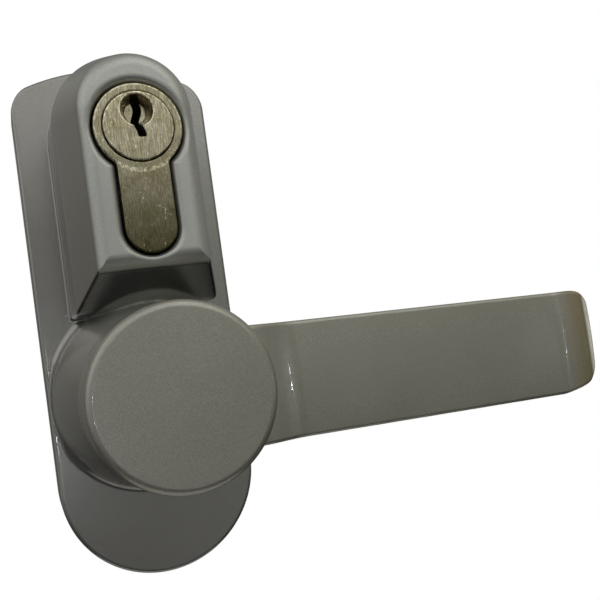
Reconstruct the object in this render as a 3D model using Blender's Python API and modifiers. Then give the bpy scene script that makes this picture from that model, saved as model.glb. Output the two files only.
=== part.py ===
"""Outside lever trim for an exit-door lock: a die-cast cover with a keyed half
cylinder in a raised housing, and a sprung lever handle below it.

Every piece is drawn in door-face coordinates: x to the right, y up, z out of the
door towards the person who uses the handle. Empties on the door face and on the
moving axes turn that frame so that the finished part stands with +Z up, its back
on the plane Y = 0, and the lever's axis through the world origin.
"""

import math

import bmesh
import bpy
from mathutils import Matrix, Vector

MM = 0.001

# ---- Driving dimensions, in millimetres -------------------------------------
GAP = 0.3                    # clearance between neighbouring pieces
WALL = 2.5                   # wall of the die-cast cover

PLATE_WIDTH = 43.5
PLATE_THICKNESS = 8.5
PLATE_BOTTOM_CENTRE = -18.9  # centre of the half-round bottom end
PLATE_TOP = 74.6             # apex of the shallow arc at the top
PLATE_TOP_RADIUS = 47.0
PLATE_CORNER_RADIUS = 4.0
PLATE_EDGE_RADIUS = 1.2

HOUSING_FRONT = 40.2         # front face of the cylinder housing
HOUSING_SHOULDER = 24.9      # where its sloping walls turn square to the door
HOUSING_HALF_FRONT = 10.5
HOUSING_HALF_BASE = 14.8
HOUSING_BOTTOM_FRONT = 25.3
HOUSING_BOTTOM_BASE = 18.0
HOUSING_ARC_FRONT = 55.6     # centre of its round top, which leans back a little
HOUSING_ARC_BASE = 56.6
HOUSING_EDGE_RADIUS = 1.5
CAVITY_HALF_FRONT = 9.0      # the cavity is wide enough for the cylinder's head

COLLAR_BASE_RADIUS = 21.0
COLLAR_RIM_RADIUS = 20.5
COLLAR_RIM = 24.5
COLLAR_TOP_RADIUS = 17.2
COLLAR_TOP = 34.5
BEARING_BORE = 9.0
BEARING_RADIUS = 11.0
BEARING_BACK = 20.5

KEY_AXIS = 51.75             # height of the cylinder's axis over the lever's
CYLINDER_HEAD_RADIUS = 8.5   # euro profile: 17 mm head, 10 mm leg, 33 mm high
CYLINDER_LEG_HALF = 5.0
CYLINDER_HEIGHT = 33.0
CYLINDER_BACK = 0.2
CYLINDER_FRONT = 40.3
PLUG_FRONT = 40.8
PLUG_RADIUS = 6.75
PLUG_BORE = 7.05
PLUG_BACK = 15.5
PLUG_TAIL_RADIUS = 3.9
CAM_BACK, CAM_FRONT = 5.5, 14.9
CAM_RING_RADIUS = 7.6
CAM_RADIUS = 11.5
CAM_WIDTH = 6.0
CAM_REST_DIRECTION = math.radians(30)
PIN_RADIUS = 1.25
PIN_HOLE_RADIUS = 1.55
PIN_COUNT = 5
PIN_PITCH = 4.0
FIRST_PIN = 36.0
DRIVER_TOP, DRIVER_BOTTOM = 44.3, 39.6
KEY_PIN_LENGTHS = (3.4, 4.1, 3.0, 3.8, 3.3)

HUB_BACK = 34.8
HUB_RADIUS = 17.4
DISC_FRONT = 50.8
DISC_GROOVE = 41.5
ARM_TOP, ARM_BOTTOM = 10.95, -11.95
ARM_DROOP = 0.026            # the arm hangs a little: fall of its middle line along x
ARM_BACK = 36.0
ARM_TRAY = 43.3
ARM_LIP = 46.5
ARM_END = 93.0
ARM_TIP_RADIUS = 3.5
SHANK_RADIUS = 7.0
SHANK_BACK = 15.5
CIRCLIP_GROOVE = (16.6, 17.8)
CIRCLIP_GROOVE_RADIUS = 6.2

SPINDLE_WIDTH = 8.0
SPINDLE_BACK, SPINDLE_FRONT = -45.0, 32.3
SOCKET_WIDTH = SPINDLE_WIDTH + 2 * GAP
SPINDLE_PIN_HEIGHT = 26.0

FOLLOWER_BACK, FOLLOWER_FRONT = 8.0, 14.0
FOLLOWER_RADIUS = 15.5
FOLLOWER_HUB_RADIUS = 6.9
FOLLOWER_HUB_BACK = 0.4
LEVER_TRAVEL = math.radians(45)
NOTCH_HALF_WIDTH = 3.4
NOTCH_BOTTOM = 9.4
STOP_PIN_DISTANCE = 14.2
STOP_PIN_RADIUS = 1.5

SLIDE_BACK, SLIDE_FRONT = 8.4, 13.6
SLIDE_STROKE = 6.0
SLIDE_TIP = 15.9
SLIDE_SHOULDER = 21.5
SLIDE_BRIDGE_TOP = 26.6
SLIDE_TOP = 46.3
SLIDE_INNER, SLIDE_OUTER = 5.6, 11.4
GUIDE_X, GUIDE_Y = 8.5, 35.5
GUIDE_RADIUS = 1.4
DETENT_X, DETENT_Y = 8.5, 25.0

SPRING_RADIUS = 13.2
SPRING_WIRE = 0.8
SPRING_BACK, SPRING_FRONT = 20.0, 26.5
SPRING_TURNS = 3.5

POST_HEIGHTS = (66.4, -29.0)
POST_RADIUS = 4.0
POST_BACK = -10.0
POST_THREAD_RADIUS = 2.1
BACK_PLATE_THICKNESS = 1.5
SCREW_PLACES = ((15.2, 61.0), (-15.2, 61.0), (13.6, -24.5), (-13.6, -24.5))
SCREW_PILLAR_RADIUS = 3.0


# ---- Scene, frames and collections -------------------------------------------
def clear_scene():
    for obj in list(bpy.data.objects):
        bpy.data.objects.remove(obj, do_unlink=True)


def new_collection(name):
    collection = bpy.data.collections.new(name)
    bpy.context.scene.collection.children.link(collection)
    return collection


def axis_frame(name, height):
    """An empty on an axis square to the door: its local z points out of the door."""
    frame = bpy.data.objects.new(name, None)
    frame.empty_display_size = 10 * MM
    frame.location = (0, 0, height * MM)
    frame.rotation_euler = (math.pi / 2, 0, 0)
    PARTS.objects.link(frame)
    return frame


def metal(name, colour, roughness, metallic=1.0):
    material = bpy.data.materials.new(name)
    material.use_nodes = True
    shader = material.node_tree.nodes["Principled BSDF"]
    shader.inputs["Base Color"].default_value = (*colour, 1)
    shader.inputs["Roughness"].default_value = roughness
    shader.inputs["Metallic"].default_value = metallic
    material.diffuse_color = (*colour, 1)
    return material


# ---- Shapes ------------------------------------------------------------------
def finish_mesh(name, bm, collection=None):
    """A mesh in millimetres becomes an object in metres, in door-face coordinates."""
    bmesh.ops.recalc_face_normals(bm, faces=bm.faces)
    bmesh.ops.scale(bm, vec=(MM, MM, MM), verts=bm.verts)
    mesh = bpy.data.meshes.new(name)
    bm.to_mesh(mesh)
    bm.free()
    mesh.shade_smooth()
    mesh.set_sharp_from_angle(angle=math.radians(35))
    obj = bpy.data.objects.new(name, mesh)
    (collection or PARTS).objects.link(obj)
    return obj


def arc(centre, radius, start, end, count):
    """Points along an arc, both ends included; the angles are in degrees."""
    angles = [math.radians(start + (end - start) * i / (count - 1)) for i in range(count)]
    return [(centre[0] + radius * math.cos(a), centre[1] + radius * math.sin(a)) for a in angles]


def rounded_box_outline(x0, x1, y0, y1, radius, count=4):
    corners = ((x1, y1, 0), (x0, y1, 90), (x0, y0, 180), (x1, y0, 270))
    points = []
    for x, y, start in corners:
        centre = (x + (radius if x == x0 else -radius), y + (radius if y == y0 else -radius))
        points += arc(centre, radius, start, start + 90, count)
    return points


def box(name, x, y, z, collection=None):
    """A box between the two values of each pair."""
    bm = bmesh.new()
    bmesh.ops.create_cube(bm, size=1)
    size = Vector((x[1] - x[0], y[1] - y[0], z[1] - z[0]))
    middle = Vector((x[0] + x[1], y[0] + y[1], z[0] + z[1])) / 2
    bmesh.ops.scale(bm, vec=size, verts=bm.verts)
    bmesh.ops.translate(bm, vec=middle, verts=bm.verts)
    return finish_mesh(name, bm, collection)


def rod(name, radius, start, end, collection=None, end_radius=None, segments=24):
    """A round rod, or a cone, between two points."""
    start, end = Vector(start), Vector(end)
    bm = bmesh.new()
    bmesh.ops.create_cone(
        bm,
        cap_ends=True,
        segments=segments,
        radius1=radius,
        radius2=radius if end_radius is None else end_radius,
        depth=(end - start).length,
    )
    turn = Vector((0, 0, 1)).rotation_difference(end - start).to_matrix().to_4x4()
    bmesh.ops.transform(bm, matrix=Matrix.Translation((start + end) / 2) @ turn, verts=bm.verts)
    return finish_mesh(name, bm, collection)


def ball(name, radius, centre, collection=None):
    bm = bmesh.new()
    bmesh.ops.create_uvsphere(bm, u_segments=12, v_segments=8, radius=radius)
    bmesh.ops.translate(bm, vec=centre, verts=bm.verts)
    return finish_mesh(name, bm, collection)


def slab(name, outline, low, high, collection=None):
    """A flat outline given thickness along z, from a filled 2D curve."""
    curve = bpy.data.curves.new(name + "_outline", "CURVE")
    curve.dimensions = "2D"
    curve.fill_mode = "BOTH"
    curve.extrude = (high - low) / 2
    spline = curve.splines.new("POLY")
    spline.points.add(len(outline) - 1)
    for point, (x, y) in zip(spline.points, outline):
        point.co = (x, y, 0, 1)
    spline.use_cyclic_u = True
    guide = bpy.data.objects.new(name + "_outline", curve)
    PARTS.objects.link(guide)
    graph = bpy.context.evaluated_depsgraph_get()
    mesh = bpy.data.meshes.new_from_object(guide.evaluated_get(graph))
    bpy.data.objects.remove(guide, do_unlink=True)
    bpy.data.curves.remove(curve)
    bm = bmesh.new()
    bm.from_mesh(mesh)
    bpy.data.meshes.remove(mesh)
    bmesh.ops.remove_doubles(bm, verts=bm.verts, dist=0.001)
    bmesh.ops.translate(bm, vec=(0, 0, (low + high) / 2), verts=bm.verts)
    return finish_mesh(name, bm, collection)


def loft(name, rings, collection=None):
    """A closed skin over outlines that have the same number of points."""
    bm = bmesh.new()
    loops = [[bm.verts.new(point) for point in ring] for ring in rings]
    for near, far in zip(loops, loops[1:]):
        for i in range(len(near)):
            after = (i + 1) % len(near)
            bm.faces.new((near[i], near[after], far[after], far[i]))
    bm.faces.new(loops[0])
    bm.faces.new(loops[-1])
    return finish_mesh(name, bm, collection)


def turned(name, profile, steps=48, collection=None, hollow=False):
    """A turned piece: (radius, z) points from front to back, revolved about local z."""
    mesh = bpy.data.meshes.new(name)
    bm = bmesh.new()
    verts = [bm.verts.new((radius * MM, 0, z * MM)) for radius, z in profile]
    for first, second in zip(verts, verts[1:]):
        bm.edges.new((first, second))
    if hollow:
        bm.edges.new((verts[-1], verts[0]))
    bm.to_mesh(mesh)
    bm.free()
    obj = bpy.data.objects.new(name, mesh)
    (collection or PARTS).objects.link(obj)
    screw = obj.modifiers.new("turn", "SCREW")
    screw.steps = screw.render_steps = steps
    screw.use_merge_vertices = True
    screw.merge_threshold = 0.00001
    screw.use_smooth_shade = True
    return obj


def ring(name, inner, outer, low, high, steps=32, collection=None):
    profile = [(outer, high), (outer, low), (inner, low), (inner, high)]
    return turned(name, profile, steps, collection, hollow=True)


def coil(name, path, wire, resolution=1):
    """A wire that follows computed points."""
    curve = bpy.data.curves.new(name, "CURVE")
    curve.dimensions = "3D"
    curve.bevel_depth = wire * MM
    curve.bevel_resolution = resolution
    curve.use_fill_caps = True
    spline = curve.splines.new("POLY")
    spline.points.add(len(path) - 1)
    for point, place in zip(spline.points, path):
        point.co = (*(v * MM for v in place), 1)
    obj = bpy.data.objects.new(name, curve)
    PARTS.objects.link(obj)
    return obj


def helix(radius, start, end, turns, per_turn, first_angle=0.0):
    """Points of a helix about local z, from height start to height end."""
    count = int(turns * per_turn) + 1
    points = []
    for i in range(count):
        share = i / (count - 1)
        angle = first_angle + 2 * math.pi * turns * share
        height = start + (end - start) * share
        points.append((radius * math.cos(angle), radius * math.sin(angle), height))
    return points


def combine(obj, operation, *others):
    """Cuts the others from a piece, or joins them to it; they stay as hidden helpers."""
    for other in others:
        other.hide_render = True
        other.display_type = "WIRE"
        other.parent = other.parent or obj.parent
        modifier = obj.modifiers.new(operation.lower() + "_" + other.name, "BOOLEAN")
        modifier.operation = operation
        modifier.object = other


def cut(obj, *others):
    combine(obj, "DIFFERENCE", *others)


def join(obj, *others):
    combine(obj, "UNION", *others)


def place(obj, frame, material):
    obj.parent = frame
    obj.data.materials.clear()
    obj.data.materials.append(material)
    return obj


# ---- Outlines ----------------------------------------------------------------
def plate_outline(inset):
    """The cover's outline: half-round bottom, straight sides, shallow arc on top."""
    half = PLATE_WIDTH / 2 - inset
    corner = PLATE_CORNER_RADIUS - inset
    top = PLATE_TOP_RADIUS - inset
    top_centre = PLATE_TOP - PLATE_TOP_RADIUS
    corner_x = half - corner
    corner_y = top_centre + math.sqrt((top - corner) ** 2 - corner_x**2)
    meet = math.degrees(math.atan2(corner_y - top_centre, corner_x))
    points = arc((corner_x, corner_y), corner, 0, meet, 4)
    points += arc((0, top_centre), top, meet, 180 - meet, 9)[1:-1]
    points += arc((-corner_x, corner_y), corner, 180 - meet, 180, 4)
    points += arc((0, PLATE_BOTTOM_CENTRE), half, 180, 360, 21)
    return points


def housing_outline(half, bottom, top_centre, corner=0.8):
    """The cylinder housing's outline: square bottom, parallel sides, round top."""
    points = arc((half - corner, bottom + corner), corner, 270, 360, 3)
    points += arc((0, top_centre), half, 0, 180, 17)
    points += arc((-half + corner, bottom + corner), corner, 180, 270, 3)
    return points


def housing_section(z, inset=0.0):
    """Half width, bottom and centre of the round top of the housing at a height over the door."""
    share = max(0.0, (z - HOUSING_SHOULDER) / (HOUSING_FRONT - HOUSING_SHOULDER))
    half = HOUSING_HALF_BASE + share * (HOUSING_HALF_FRONT - HOUSING_HALF_BASE)
    bottom = HOUSING_BOTTOM_BASE + share * (HOUSING_BOTTOM_FRONT - HOUSING_BOTTOM_BASE)
    top_centre = HOUSING_ARC_BASE + share * (HOUSING_ARC_FRONT - HOUSING_ARC_BASE)
    return half - inset, bottom + inset, top_centre


def euro_outline(margin=0.0):
    """Euro profile about the cylinder's axis: round head over a narrow round-ended leg."""
    head = CYLINDER_HEAD_RADIUS + margin
    leg = CYLINDER_LEG_HALF + margin
    leg_centre = KEY_AXIS + CYLINDER_HEAD_RADIUS - CYLINDER_HEIGHT + CYLINDER_LEG_HALF
    neck = math.degrees(math.asin(leg / head))
    points = arc((0, KEY_AXIS), head, -90 + neck, 270 - neck, 27)
    points += arc((0, leg_centre), leg, 180, 360, 11)
    return points


def at(outline, z):
    return [(x, y, z) for x, y in outline]


# ---- Cover -------------------------------------------------------------------
def rounded_edge(front, radius, steps=2):
    """(height, inset) of the rings that round a front edge."""
    angles = [math.pi / 2 * i / steps for i in range(steps + 1)]
    return [(front - radius * (1 - math.sin(a)), radius * (1 - math.cos(a))) for a in angles]


def plate_body():
    rings = [at(plate_outline(0), 0)]
    for z, inset in rounded_edge(PLATE_THICKNESS, PLATE_EDGE_RADIUS):
        rings.append(at(plate_outline(inset), z))
    return loft("cover", rings)


def housing_body():
    heights = [(PLATE_THICKNESS - 3, 0), (HOUSING_SHOULDER, 0)]
    heights += rounded_edge(HOUSING_FRONT, HOUSING_EDGE_RADIUS)
    rings = [at(housing_outline(*housing_section(z, inset)), z) for z, inset in heights]
    return loft("housing_body", rings, HELPERS)


def collar_body():
    profile = [
        (0, COLLAR_TOP),
        (COLLAR_TOP_RADIUS - 0.6, COLLAR_TOP),
        (COLLAR_TOP_RADIUS, COLLAR_TOP - 0.6),
        (COLLAR_RIM_RADIUS - 0.3, COLLAR_RIM + 0.7),
        (COLLAR_RIM_RADIUS, COLLAR_RIM),
        (COLLAR_BASE_RADIUS, PLATE_THICKNESS - 3),
        (0, PLATE_THICKNESS - 3),
    ]
    return turned("collar_body", profile, 48, HELPERS)


def cover_cavities():
    plate = slab("plate_cavity", plate_outline(WALL), -1, PLATE_THICKNESS - WALL, HELPERS)
    section = housing_section(0, WALL)
    shoulder = at(housing_outline(*section), HOUSING_SHOULDER)
    base = at(housing_outline(*section), -2)
    front_section = CAVITY_HALF_FRONT, HOUSING_BOTTOM_FRONT + 0.6, HOUSING_ARC_FRONT
    front = at(housing_outline(*front_section), HOUSING_FRONT - WALL)
    housing = loft("housing_cavity", [base, shoulder, front], HELPERS)
    profile = [
        (BEARING_RADIUS, COLLAR_TOP - WALL),
        (COLLAR_TOP_RADIUS - WALL, COLLAR_TOP - WALL),
        (COLLAR_RIM_RADIUS - WALL, COLLAR_RIM),
        (COLLAR_RIM_RADIUS - WALL, -3),
        (0, -3),
        (0, BEARING_BACK),
        (BEARING_RADIUS, BEARING_BACK),
    ]
    collar = turned("collar_cavity", profile, 32, HELPERS, hollow=True)
    passage = box("slide_passage", (-3.4, 11.8), (13, 24), (-4, SLIDE_FRONT + 0.6), HELPERS)
    return plate, housing, collar, passage


def cover_openings():
    bore = rod("bearing_bore", BEARING_BORE, (0, 0, 15), (0, 0, 40), HELPERS, segments=32)
    mouth = slab("cylinder_mouth", euro_outline(0.35), 30, 45, HELPERS)
    return bore, mouth


def detent_pillar():
    pillar = rod("detent_pillar", 2.9, (DETENT_X, DETENT_Y, 14.6), (DETENT_X, DETENT_Y, 32), HELPERS)
    pocket = rod("detent_pocket", 1.8, (DETENT_X, DETENT_Y, 10), (DETENT_X, DETENT_Y, 22.6), HELPERS)
    return pillar, pocket


def build_cover(frame, paint):
    cover = plate_body()
    cover.parent = frame
    join(cover, housing_body(), collar_body())
    cut(cover, *cover_cavities())
    for index, (x, y) in enumerate(SCREW_PLACES, 1):
        pillar = rod(f"screw_pillar_{index}", SCREW_PILLAR_RADIUS, (x, y, 1.9), (x, y, 7), HELPERS)
        hole = rod(f"screw_hole_{index}", 1.5, (x, y, 0), (x, y, 5.9), HELPERS, segments=16)
        join(cover, pillar)
        cut(cover, hole)
    pillar, pocket = detent_pillar()
    join(cover, pillar)
    cut(cover, pocket, *cover_openings())
    return place(cover, frame, paint)


# ---- Back plate and fixings ----------------------------------------------------
def build_back_plate(frame, steel):
    plate = slab("back_plate", plate_outline(WALL + GAP), 0, BACK_PLATE_THICKNESS)
    plate.parent = frame
    cut(plate, slab("cylinder_slot", euro_outline(0.6), -2, 4, HELPERS))
    hub_hole = rod("hub_hole", FOLLOWER_HUB_RADIUS + 0.4, (0, 0, -2), (0, 0, 4), HELPERS, segments=32)
    cut(plate, hub_hole)
    for index, y in enumerate(POST_HEIGHTS, 1):
        cut(plate, rod(f"post_hole_{index}", POST_RADIUS + GAP, (0, y, -2), (0, y, 4), HELPERS))
    for index, (x, y) in enumerate(SCREW_PLACES, 1):
        through = rod(f"plate_screw_hole_{index}", 1.5, (x, y, -2), (x, y, 4), HELPERS, segments=16)
        sink = rod(f"countersink_{index}", 3.4, (x, y, -0.3), (x, y, 1.5), HELPERS, 1.3)
        cut(plate, through, sink)
    return place(plate, frame, steel)


def build_back_plate_screw(index, frame, steel):
    x, y = SCREW_PLACES[index - 1]
    profile = [(0, 5.5), (1.1, 5.5), (1.1, 1.5), (2.6, 0.1), (0, 0.1)]
    screw = turned(f"back_plate_screw_{index}", profile, 16)
    screw.location = (x * MM, y * MM, 0)
    for turn in (0, math.pi / 2):
        slot = box(f"screw_{index}_slot_{'ab'[turn > 0]}", (-1.5, 1.5), (-0.3, 0.3), (-1, 0.9), HELPERS)
        slot.rotation_euler = (0, 0, turn)
        slot.location = screw.location
        slot.parent = frame
        cut(screw, slot)
    return place(screw, frame, steel)


def build_fixing_post(name, y, frame, steel):
    front = PLATE_THICKNESS - WALL - GAP
    profile = [
        (0, front),
        (POST_RADIUS, front),
        (POST_RADIUS, 3.2),
        (4.5, 3.2),
        (4.5, BACK_PLATE_THICKNESS + GAP),
        (POST_RADIUS, BACK_PLATE_THICKNESS + GAP),
        (POST_RADIUS, POST_BACK + 0.5),
        (POST_RADIUS - 0.5, POST_BACK),
        (POST_THREAD_RADIUS + 0.4, POST_BACK),
        (POST_THREAD_RADIUS, POST_BACK + 0.5),
        (POST_THREAD_RADIUS, 3.0),
        (0, 3.0),
    ]
    post = turned(name, profile, 16)
    post.location = (0, y * MM, 0)
    return place(post, frame, steel)


# ---- Cylinder ------------------------------------------------------------------
def pin_places():
    return [FIRST_PIN - PIN_PITCH * i for i in range(PIN_COUNT)]


def build_cylinder_body(frame, nickel):
    body = slab("cylinder_body", euro_outline(), CYLINDER_BACK, CYLINDER_FRONT)
    body.parent = frame
    centre = (0, KEY_AXIS)
    cut(body, rod("plug_bore", PLUG_BORE, (*centre, -2), (*centre, 44), HELPERS, segments=32))
    cut(body, rod("cam_slot", CAM_RADIUS + 0.6, (*centre, 5.2), (*centre, 15.2), HELPERS, segments=32))
    cut(body, rod("fixing_hole", 2.6, (-7, 32, 10.2), (7, 32, 10.2), HELPERS, segments=20))
    for index, z in enumerate(pin_places(), 1):
        low, high = (0, 29.6, z), (0, 46, z)
        cut(body, rod(f"pin_chamber_{index}", PIN_HOLE_RADIUS, low, high, HELPERS, segments=12))
    cut(body, box("chamber_groove", (-2.1, 2.1), (25, 30.2), (16.8, 39.0), HELPERS))
    return place(body, frame, nickel)


def keyway_outline():
    """A winding slot: its middle line swings left and right as it runs down."""
    top, bottom, half_width = 6.1, -2.2, 0.78
    count = 16
    right, left = [], []
    for i in range(count + 1):
        share = i / count
        y = top + (bottom - top) * share
        sway = 0.1 + 0.38 * math.cos(2 * math.pi * 1.43 * (share - 0.28))
        right.append((sway + half_width, y))
        left.append((sway - half_width, y))
    return right[::-1] + left


def build_key_plug(frame, nickel):
    profile = [
        (0, PLUG_FRONT),
        (PLUG_RADIUS - 0.3, PLUG_FRONT),
        (PLUG_RADIUS, PLUG_FRONT - 0.3),
        (PLUG_RADIUS, PLUG_BACK),
        (PLUG_TAIL_RADIUS, PLUG_BACK),
        (PLUG_TAIL_RADIUS, 4.8),
        (PLUG_TAIL_RADIUS - 0.8, 4.8),
        (PLUG_TAIL_RADIUS - 0.8, 3.2),
        (PLUG_TAIL_RADIUS, 3.2),
        (PLUG_TAIL_RADIUS, 2.0),
        (0, 2.0),
    ]
    plug = turned("key_plug", profile, 32)
    plug.parent = frame
    cut(plug, slab("keyway", keyway_outline(), 18, 44, HELPERS))
    entry = rod("key_entry", 2.1, (0, 3.1, 38.0), (0, 3.1, 41.2), HELPERS, 3.3, segments=28)
    cut(plug, entry)
    for index, z in enumerate(pin_places(), 1):
        low, high = (0, -9, z), (0, -1, z)
        cut(plug, rod(f"plug_pin_hole_{index}", PIN_HOLE_RADIUS, low, high, HELPERS, segments=12))
    cut(plug, box("tail_flat", (-5, 5), (PLUG_TAIL_RADIUS - 0.9, 6), (4.8, PLUG_BACK), HELPERS))
    return place(plug, frame, nickel)


def build_key_pin(index, frame, brass):
    z = pin_places()[index - 1]
    length = KEY_PIN_LENGTHS[index - 1]
    bottom = -6.45
    tip = 0.9
    profile = [(0, length), (0.5, length), (PIN_RADIUS, length - tip), (PIN_RADIUS, 0), (0, 0)]
    pin = turned(f"key_pin_{index}", profile, 12)
    pin.rotation_euler = (-math.pi / 2, 0, 0)
    pin.location = (0, bottom * MM, z * MM)
    return place(pin, frame, brass)


def build_driver_pin(index, frame, brass):
    z = pin_places()[index - 1]
    low, high = (0, DRIVER_BOTTOM, z), (0, DRIVER_TOP, z)
    return place(rod(f"driver_pin_{index}", PIN_RADIUS, low, high, segments=12), frame, brass)


def build_pin_spring(index, frame, steel):
    z = pin_places()[index - 1]
    low, high = 31.0, DRIVER_BOTTOM - 0.7
    path = helix(0.95, 0, high - low, 4, 6)
    spring = coil(f"pin_spring_{index}", path, 0.2, 0)
    spring.rotation_euler = (-math.pi / 2, 0, 0)
    spring.location = (0, low * MM, z * MM)
    return place(spring, frame, steel)


def build_chamber_strip(frame, brass):
    outline = [(-1.8, 28.2), (-0.9, 27.7), (0.9, 27.7), (1.8, 28.2), (1.8, 29.9), (-1.8, 29.9)]
    return place(slab("pin_chamber_strip", outline, 17.1, 38.7), frame, brass)


def build_cam(frame, steel):
    cam = ring("cylinder_cam", PLUG_TAIL_RADIUS + GAP, CAM_RING_RADIUS, CAM_BACK, CAM_FRONT, 32)
    cam.parent = frame
    lobe_outline = rounded_box_outline(4.6, CAM_RADIUS - 0.1, -CAM_WIDTH / 2, CAM_WIDTH / 2, 0.8, 3)
    lobe = slab("cam_lobe", lobe_outline, CAM_BACK, CAM_FRONT, HELPERS)
    lobe.rotation_euler = (0, 0, CAM_REST_DIRECTION)
    lobe.parent = frame
    join(cam, lobe)
    bore = rod("cam_bore", PLUG_TAIL_RADIUS + GAP, (0, 0, 2), (0, 0, 18), HELPERS, segments=32)
    cut(cam, bore)
    return place(cam, frame, steel)


def clip_outline(inner, outer, opening):
    half = opening / 2
    return arc((0, 0), outer, -90 + half, 270 - half, 21) + arc((0, 0), inner, 270 - half, -90 + half, 21)


def build_cam_clip(frame, steel):
    outline = clip_outline(PLUG_TAIL_RADIUS - 0.5, 6.2, 70)
    return place(slab("cam_clip", outline, 3.5, 4.5), frame, steel)


def build_cylinder_bracket(frame, steel):
    bracket = box("cylinder_bracket", (-6.8, -5.35), (28, 37), (1.9, 15))
    bracket.parent = frame
    join(bracket, box("bracket_foot", (-11.6, -5.6), (28, 37), (1.9, 3.4), HELPERS))
    cut(bracket, rod("bracket_hole", 2.6, (-9, 32, 10.2), (-3, 32, 10.2), HELPERS, segments=20))
    return place(bracket, frame, steel)


def build_cylinder_screw(frame, steel):
    shank, head = 2.3, 4.2
    profile = [(0, 4.4), (shank - 0.3, 4.4), (shank, 4.0), (shank, -7.1)]
    profile += [(head, -7.1), (head, -9.4), (head - 0.6, -10.2), (0, -10.2)]
    screw = turned("cylinder_fixing_screw", profile, 24)
    screw.rotation_euler = (0, math.pi / 2, 0)
    screw.location = (0, 32 * MM, 10.2 * MM)
    slot = box("cylinder_screw_slot", (-12, -9.2), (31.5, 32.5), (4, 16), HELPERS)
    slot.parent = frame
    cut(screw, slot)
    return place(screw, frame, steel)


# ---- Locking slide ---------------------------------------------------------------
def build_locking_slide(frame, steel):
    outline = [
        (-3, SLIDE_TIP + 0.6),
        (-2.4, SLIDE_TIP),
        (2.4, SLIDE_TIP),
        (3, SLIDE_TIP + 0.6),
        (3, SLIDE_SHOULDER),
        (SLIDE_OUTER, SLIDE_SHOULDER),
        (SLIDE_OUTER, SLIDE_TOP - 1.2),
        (SLIDE_OUTER - 1.2, SLIDE_TOP),
        (SLIDE_INNER + 1.0, SLIDE_TOP),
        (SLIDE_INNER, SLIDE_TOP - 1.0),
        (SLIDE_INNER, SLIDE_BRIDGE_TOP),
        (-3, SLIDE_BRIDGE_TOP),
    ]
    slide = slab("locking_slide", outline, SLIDE_BACK, SLIDE_FRONT)
    slide.parent = frame
    half = GUIDE_RADIUS + GAP
    low, high = GUIDE_Y, GUIDE_Y + SLIDE_STROKE
    slot = rounded_box_outline(GUIDE_X - half, GUIDE_X + half, low - half, high + half, half - 0.01, 6)
    cut(slide, slab("guide_slot", slot, 5, 17, HELPERS))
    for index, y in enumerate((DETENT_Y, DETENT_Y + SLIDE_STROKE), 1):
        cut(slide, ball(f"detent_dimple_{index}", 1.8, (DETENT_X, y, SLIDE_FRONT + 1.2), HELPERS))
    return place(slide, frame, steel)


def build_slide_guide(frame, steel):
    profile = [
        (0, SLIDE_FRONT + GAP + 1.0),
        (2.4, SLIDE_FRONT + GAP + 1.0),
        (2.4, SLIDE_FRONT + GAP),
        (GUIDE_RADIUS, SLIDE_FRONT + GAP),
        (GUIDE_RADIUS, SLIDE_BACK - GAP),
        (2.6, SLIDE_BACK - GAP),
        (2.6, BACK_PLATE_THICKNESS + GAP),
        (0, BACK_PLATE_THICKNESS + GAP),
    ]
    guide = turned("slide_guide_stud", profile, 24)
    guide.location = (GUIDE_X * MM, GUIDE_Y * MM, 0)
    return place(guide, frame, steel)


def build_detent(frame, steel):
    centre = SLIDE_FRONT + GAP + 1.5
    place(ball("detent_ball", 1.5, (DETENT_X, DETENT_Y, centre)), frame, steel)
    path = helix(1.2, centre + 2.0, 21.8, 4, 6)
    spring = coil("detent_spring", path, 0.25, 0)
    spring.location = (DETENT_X * MM, DETENT_Y * MM, 0)
    place(spring, frame, steel)


# ---- Lever and its drive -----------------------------------------------------------
def lever_disc():
    edge = 1.3
    profile = [(0, DISC_FRONT)]
    profile += [(HUB_RADIUS - edge + r, z) for z, r in disc_edge(edge)]
    profile += [
        (HUB_RADIUS, DISC_GROOVE + 0.3),
        (HUB_RADIUS - 0.35, DISC_GROOVE),
        (HUB_RADIUS, DISC_GROOVE - 0.3),
        (HUB_RADIUS, HUB_BACK + 0.8),
        (HUB_RADIUS - 0.8, HUB_BACK),
        (SHANK_RADIUS, HUB_BACK),
        (SHANK_RADIUS, CIRCLIP_GROOVE[1]),
        (CIRCLIP_GROOVE_RADIUS, CIRCLIP_GROOVE[1]),
        (CIRCLIP_GROOVE_RADIUS, CIRCLIP_GROOVE[0]),
        (SHANK_RADIUS, CIRCLIP_GROOVE[0]),
        (SHANK_RADIUS, SHANK_BACK + 0.5),
        (SHANK_RADIUS - 0.5, SHANK_BACK),
        (0, SHANK_BACK),
    ]
    return turned("lever", profile, 48)


def disc_edge(radius, steps=2):
    """(z, run) pairs over the disc's rounded rim, from its face to its side."""
    angles = [math.pi / 2 * i / steps for i in range(steps + 1)]
    return [(DISC_FRONT - radius * (1 - math.cos(a)), radius * math.sin(a)) for a in angles]


def smooth_step(share):
    share = max(0.0, min(1.0, share))
    return share * share * (3 - 2 * share)


def arm_face(x):
    """Height of the arm's face along its length: root ramp, dished tray, raised end lip."""
    root = smooth_step((23.0 - x) / 9.0)
    lip = smooth_step(max(0.0, (x - 85.5) / 5.6) ** 1.6)
    return ARM_TRAY + 3.2 * root + (ARM_LIP - ARM_TRAY) * lip


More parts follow.
